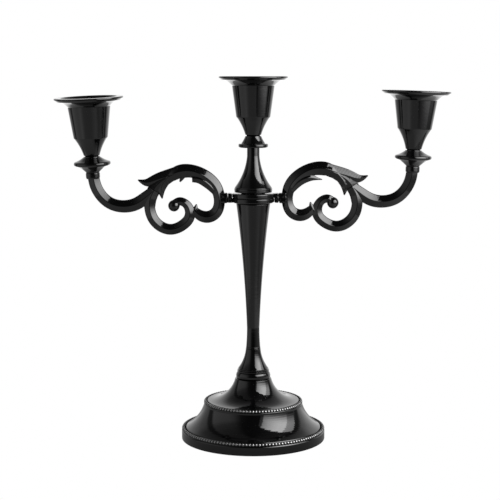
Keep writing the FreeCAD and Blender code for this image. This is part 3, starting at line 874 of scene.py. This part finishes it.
def make_arm(side):
    """One arm casting, front and back alike, with its hub ring, blocks and boss."""
    sign = 1 if side == "right" else -1
    seat = cup_frame(side, SIDE_COLLAR_HEIGHT).translation
    pattern = ARM_SEAT - ARM_PIVOT
    found = Vector((sign * seat.x, 0, seat.z)) - ARM_PIVOT
    droop = math.atan2(pattern.z, pattern.x) - math.atan2(found.z, found.x)
    bars = []
    for order, (label, path) in enumerate(ARM_BARS.items()):
        if label == "spur" and side == "left":
            path = LEFT_SPUR
        bars.append(bar_bmesh(path, CREST_STEP * order, label in VEINED))
    if side == "left":
        bars.append(bar_bmesh(LEFT_TOOTH, TOOTH_TRIM, False))
    reach, height, radius = CURL_BALL
    bars.append(ball_bmesh((reach, 0, height), radius))
    mirror = Matrix.Scale(sign, 4, Vector((1, 0, 0)))
    turn = (Matrix.Translation(ARM_PIVOT) @ Matrix.Rotation(sign * droop, 4, "Y")
            @ Matrix.Translation(-ARM_PIVOT))
    for made in bars:
        made.transform(turn @ mirror)

    ring_foot = HUB_FOOT + (RING_THICK if side == "right" else 0)
    seam = HUB_FOOT + RING_THICK
    hub = [cast_block(seam, *LUG), cast_block(seam, *STOP),
           cast_block(ring_foot + RING_THICK / 2, *WEB)]
    for made in hub:
        made.transform(mirror)
    if side == "left":
        for made in bars + hub:
            bmesh.ops.reverse_faces(made, faces=made.faces)
    ring = turned_bmesh(ring_outline(ring_foot), RING_SEGMENTS)
    boss = turned_bmesh(SEAT_BOSS, BOSS_SEGMENTS)
    boss.transform(cup_frame(side, SIDE_COLLAR_HEIGHT))
    mesh = joined([ring] + hub + bars + [boss], side + "_scroll_arm")
    mesh.transform(Matrix.Scale(MM, 4))
    new_piece(mesh.name, mesh, CAST_ENAMEL, side + "_branch", [side + "_arm"])
    mesh.set_sharp_from_angle(angle=SHARP_ANGLE)


# ---------------------------------------------------------------------------
# Hidden fasteners and felt keep their CAD shapes
# ---------------------------------------------------------------------------


def finish_cad_nodes():
    """Steel and felt on the CAD nodes that stay."""
    steel = ["base_bolt", "base_washer", "lock_washer", "top_stud", "clamp_washer",
             "centre_cup_screw", "left_cup_screw", "right_cup_screw"]
    for node in steel + ["base_felt"]:
        piece = frame["nodes"][node]
        material = {"base_felt": FELT, "clamp_washer": BLACK_STEEL}.get(node, PLATED_STEEL)
        piece.data.materials.clear()
        piece.data.materials.append(material)


# ---------------------------------------------------------------------------
# Stage, light and camera
# ---------------------------------------------------------------------------

CAMERA_DISTANCE = 1.0
CAMERA_HEIGHT = 0.270
CAMERA_ACROSS = -0.0024
CAMERA_PITCH = math.radians(7.28)
CAMERA_LENS = 97.95
CAMERA_SENSOR = 36.0
FLOOR_RADIUS = 0.4
# The floor's painted light and shade as the enamel mirrors it: brighter to the right and behind,
# with a painted shadow round the base. Each line holds the span of places in metres that it
# changes over, and what it changes from and to.
FLOOR_LIGHT_EASTWARD = (0.06, 0.25, 0.42, 0.80)
FLOOR_LIGHT_BACKWARD = (0.10, 0.40, 0.0, 0.20)
FLOOR_PAINTED_SHADE = (0.055, 0.12, 0.65, 1.0)  # painted shadow round the base, lifting outwards from it


def make_camera():
    """A long lens a little above the object, looking slightly down."""
    data = bpy.data.cameras.new("camera")
    data.lens = CAMERA_LENS
    data.sensor_width = CAMERA_SENSOR
    camera = bpy.data.objects.new("camera", data)
    bpy.context.scene.collection.objects.link(camera)
    camera.location = (CAMERA_ACROSS, -CAMERA_DISTANCE, CAMERA_HEIGHT)
    camera.rotation_euler = (math.pi / 2 - CAMERA_PITCH, 0, 0)
    bpy.context.scene.camera = camera


def stage_object(name, made):
    """An object for the stage from a bmesh in metres."""
    mesh = bpy.data.meshes.new(name)
    made.to_mesh(mesh)
    made.free()
    thing = bpy.data.objects.new(name, mesh)
    bpy.context.scene.collection.objects.link(thing)
    return thing


def glow(name):
    """A material that only shines; its strength is linked by the caller."""
    n = Nodes(name)
    n.shader.inputs["Base Color"].default_value = BLACK
    n.shader.inputs["Specular IOR Level"].default_value = 0.0
    n.shader.inputs["Emission Color"].default_value = WHITE
    return n


def make_floor():
    """A pale floor: plain white to the camera, glowing with painted light and shade in the
    enamel's reflections, open from below.
    """
    made = bmesh.new()
    bmesh.ops.create_circle(made, cap_ends=True, radius=FLOOR_RADIUS, segments=64)
    floor = stage_object("floor", made)
    n = glow("pale_floor")
    place = n.add("ShaderNodeSeparateXYZ", {"Vector": n.place})
    # painted light and shadow: the floor glows brighter to the right and behind, and dimmer near
    # the base
    painted_floor_light = n.math("ADD", n.ramp(place.outputs["X"], *FLOOR_LIGHT_EASTWARD),
                      n.ramp(place.outputs["Y"], *FLOOR_LIGHT_BACKWARD))
    apart = n.add("ShaderNodeVectorMath", {0: n.place}, operation="LENGTH").outputs["Value"]
    painted_floor_light = n.math("MULTIPLY", painted_floor_light, n.ramp(apart, *FLOOR_PAINTED_SHADE))
    camera = n.add("ShaderNodeLightPath").outputs["Is Camera Ray"]
    n.link(n.math("MAXIMUM", painted_floor_light, camera), n.shader.inputs["Emission Strength"])
    n.shader.inputs["Roughness"].default_value = 1.0
    under = n.add("ShaderNodeNewGeometry").outputs["Backfacing"]
    n.link(n.math("SUBTRACT", 1.0, under), n.shader.inputs["Alpha"])
    floor.data.materials.append(n.material)


# How bright the studio is round the horizon: (degrees from the front, brightness)
ROUND_THE_STUDIO = [
    (-180, 1.2), (-165, 1.0), (-150, 0.65), (-135, 0.45), (-122, 0.42), (-116, 0.1),
    (-107, 0.1), (-101, 0.65), (-60, 0.62), (-46, 0.45), (-38, 0.25), (-28, 0.05),
    (-10, 0.0), (15, 0.0), (30, 0.1), (60, 0.3), (102, 0.5), (109, 0.08), (117, 0.08),
    (124, 0.8), (140, 1.1), (165, 1.1), (180, 1.2),
]
# What share of that is left at a height above the horizon: (degrees, share)
UP_THE_STUDIO = [(-90, 1.0), (15, 1.0), (30, 0.9), (40, 0.45), (55, 0.25), (70, 0.15), (90, 0.1)]
# The floor in front, beyond the part that is modelled: brightness by height, and
# how far round it reaches
FRONT_FLOOR = [(-90, 0.4), (-16, 0.33), (-8, 0.0), (90, 0.0)]
FRONT_REACH = [(-180, 0.0), (-62, 0.0), (-45, 1.0), (45, 1.0), (62, 0.0), (180, 0.0)]
# The sweep behind, lit brighter than the wall above it
BACK_FLOOR = [(-90, 0.0), (-50, 0.1), (-28, 1.0), (-10, 1.0), (-4, 0.0), (90, 0.0)]
BACK_REACH = [(-180, 1.0), (-160, 1.0), (-148, 0.0), (148, 0.0), (160, 1.0), (180, 1.0)]
STUDIO_GLOOM = 0.03

# The key panel's place, what it faces, its width and height in mm, and its brightness
KEY_PLACE = (372, -220, 355)
KEY_AIM = (0, 0, 300)
KEY_SIZE = (820, 580)
KEY_PEAK = 9.6
# The key panel's brightness along its width, from behind to in front, and its height
KEY_ACROSS = [(-0.5, 0.30), (-0.3, 0.40), (-0.225, 0.46), (-0.205, 0.95), (-0.04, 1.0),
              (0.06, 0.92), (0.22, 0.68), (0.38, 0.40), (0.42, 0.05)]
KEY_UP = [(-0.5, 0.03), (-0.40, 0.06), (-0.33, 0.2), (-0.27, 0.45), (-0.2, 0.68), (-0.1, 0.93),
          (0.0, 1.0), (0.47, 0.95), (0.5, 0.8)]


def make_world():
    """A studio round the object: pale behind and beside it, dark in front and above.

    The camera sees plain white.
    """
    world = bpy.data.worlds.new("studio")
    bpy.context.scene.world = world
    world.use_nodes = True
    world.node_tree.nodes.clear()
    n = Tree(world.node_tree)
    way = n.add("ShaderNodeSeparateXYZ",
                {"Vector": n.add("ShaderNodeTexCoord").outputs["Generated"]}).outputs
    bearing = n.math("ARCTAN2", way["X"], n.math("MULTIPLY", way["Y"], -1.0))
    height = n.math("ARCSINE", way["Z"])
    degree = math.radians(1)
    level = STUDIO_GLOOM
    for across, up in ((ROUND_THE_STUDIO, UP_THE_STUDIO), (FRONT_REACH, FRONT_FLOOR),
                       (BACK_REACH, BACK_FLOOR)):
        lit = n.math("MULTIPLY", n.table(bearing, across, degree), n.table(height, up, degree))
        level = n.math("ADD", lit, level)
    room = n.add("ShaderNodeBackground", {"Color": WHITE, "Strength": level})
    plain = n.add("ShaderNodeBackground", {"Color": WHITE, "Strength": 1.0})
    camera = n.add("ShaderNodeLightPath").outputs["Is Camera Ray"]
    mix = n.add("ShaderNodeMixShader", {0: camera, 1: room.outputs[0], 2: plain.outputs[0]})
    n.add("ShaderNodeOutputWorld", {"Surface": mix.outputs[0]})


def soft_panel(name, place, aim, size, peak, across, up):
    """A glowing softbox facing a point, in mm, dark from behind and unseen by the camera.

    across and up hold (share of the side, brightness), from -0.5 to 0.5.
    """
    made = bmesh.new()
    bmesh.ops.create_grid(made, x_segments=1, y_segments=1, size=0.5)
    panel = stage_object(name, made)
    panel.scale = (size[0] * MM, size[1] * MM, 1)
    panel.location = Vector(place) * MM
    panel.rotation_mode = "QUATERNION"
    panel.rotation_quaternion = (Vector(aim) - Vector(place)).to_track_quat("Z", "Y")
    n = glow(name + "_glow")
    spot = n.add("ShaderNodeSeparateXYZ", {"Vector": n.place})
    level = n.math("MULTIPLY", n.table(spot.outputs["X"], across), n.table(spot.outputs["Y"], up))
    front = n.math("SUBTRACT", 1.0, n.add("ShaderNodeNewGeometry").outputs["Backfacing"])
    strength = n.math("MULTIPLY", n.math("MULTIPLY", front, peak), level)
    n.link(strength, n.shader.inputs["Emission Strength"])
    panel.data.materials.append(n.material)
    panel.visible_camera = False


make_camera()
make_floor()
make_world()
soft_panel("key_panel", KEY_PLACE, KEY_AIM, KEY_SIZE, KEY_PEAK, KEY_ACROSS, KEY_UP)

make_base()
make_bead_ring("lower_bead_ring", *LOWER_BEADS)
make_bead_ring("upper_bead_ring", *UPPER_BEADS)
make_stem_foot()
make_stem()
make_finial()
make_centre_collar()
make_cup("centre", CUP_SHOULDER, Matrix.Translation((0, 0, low_z("centre_cup"))),
         "finial_group")
for cup_side, cup_shoulder in (("left", CUP_SHOULDER), ("right", RIGHT_CUP_SHOULDER)):
    make_side_collar(cup_side)
    make_cup(cup_side, cup_shoulder, cup_frame(cup_side, 0), cup_side + "_branch")
    make_arm(cup_side)
finish_cad_nodes()

bpy.context.scene.view_settings.view_transform = "Standard"
